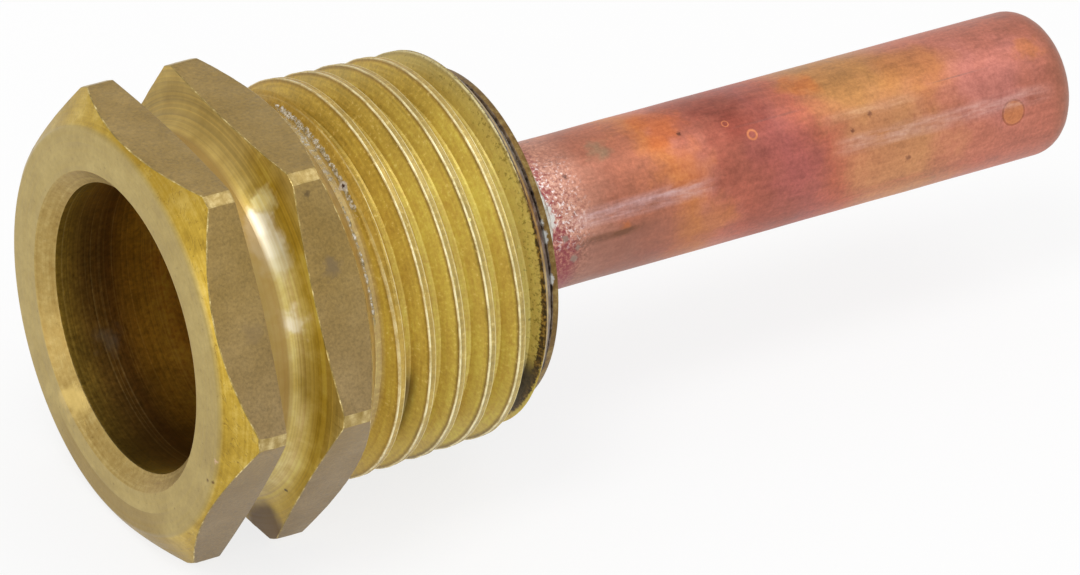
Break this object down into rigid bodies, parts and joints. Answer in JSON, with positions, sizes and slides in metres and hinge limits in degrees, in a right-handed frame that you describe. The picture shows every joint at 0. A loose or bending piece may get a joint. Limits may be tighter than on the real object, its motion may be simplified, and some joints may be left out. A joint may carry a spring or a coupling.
{
  "type": "thermowell",
  "caption": "Short thermowell with a grooved hexagonal head, a taper pipe thread and a closed copper tube, for a temperature sensor bulb.",
  "frame": {"origin": "on the axis, in the plane where the head's flats end and the threaded end begins", "axes": "the axis lies along X with the head's mouth towards -X and the closed tip of the tube towards +X, and one flat of the hexagon faces +Z"},
  "size_m": [0.0573, 0.025, 0.022],
  "materials": {
    "spud_brass": "turned brass, satin on the machined faces, with a dull drawn skin on the flats of the hexagon",
    "disc_brass": "brass dulled by brazing heat",
    "tube_copper": "bare copper with uneven pink, orange and olive heat tints",
    "disc_braze": "silver brazing alloy with dark flux left on it",
    "tube_braze": "bright silver brazing alloy, smooth as it froze"
  },
  "bodies": {
    "root": {"hex_spud": "spud_brass", "end_disc": "disc_brass", "well_tube": "tube_copper", "disc_braze": "disc_braze", "tube_braze": "tube_braze"}
  },
  "joints": []
}
